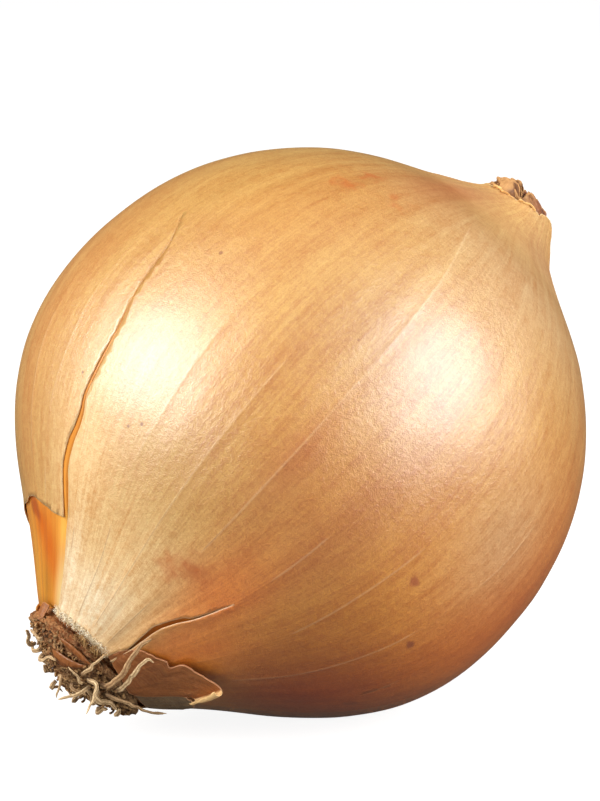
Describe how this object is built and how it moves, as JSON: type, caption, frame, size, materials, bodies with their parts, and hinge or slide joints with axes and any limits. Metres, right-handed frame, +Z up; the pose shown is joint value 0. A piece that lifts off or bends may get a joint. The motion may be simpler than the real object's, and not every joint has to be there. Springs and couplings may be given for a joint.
{
  "type": "onion",
  "caption": "Mature yellow bulb onion lying on its side on a small flat spot: papery skin with a crack, dried neck, root plate and dried root tuft.",
  "frame": {"origin": "middle of the small flat spot that the onion rests on, on the floor", "axes": "+Z up; the bulb's own axis lies in the XZ plane and leans so that the neck points to +X and up at 41 degrees above the floor, with the roots at -X; the cracked side is towards -Y"},
  "size_m": [0.0773, 0.0755, 0.0749],
  "materials": {
    "papery_skin": "satin",
    "moist_skin": "satin",
    "dried_neck": "matte",
    "root_plate": "matte",
    "skin_flake": "satin",
    "leaf_base": "satin",
    "dried_root": "matte"
  },
  "bodies": {
    "root": {"outer_skin": "papery_skin", "bulb": "moist_skin", "neck_sheath": "dried_neck", "neck_core": "dried_neck", "root_plate": "root_plate", "basal_flake": "skin_flake", "underside_scrap": "skin_flake", "collar_curl": "skin_flake", "rear_scrap": "skin_flake", "leaf_base_scale": "leaf_base", "root_01": "dried_root", "root_02": "dried_root", "root_03": "dried_root", "root_04": "dried_root", "root_05": "dried_root", "root_06": "dried_root", "root_07": "dried_root", "root_08": "dried_root", "root_09": "dried_root", "root_10": "dried_root", "root_11": "dried_root", "root_12": "dried_root", "root_13": "dried_root", "root_14": "dried_root", "root_15": "dried_root", "root_16": "dried_root", "root_17": "dried_root", "root_18": "dried_root", "root_19": "dried_root", "root_20": "dried_root", "root_21": "dried_root", "root_22": "dried_root", "root_23": "dried_root"}
  },
  "joints": []
}
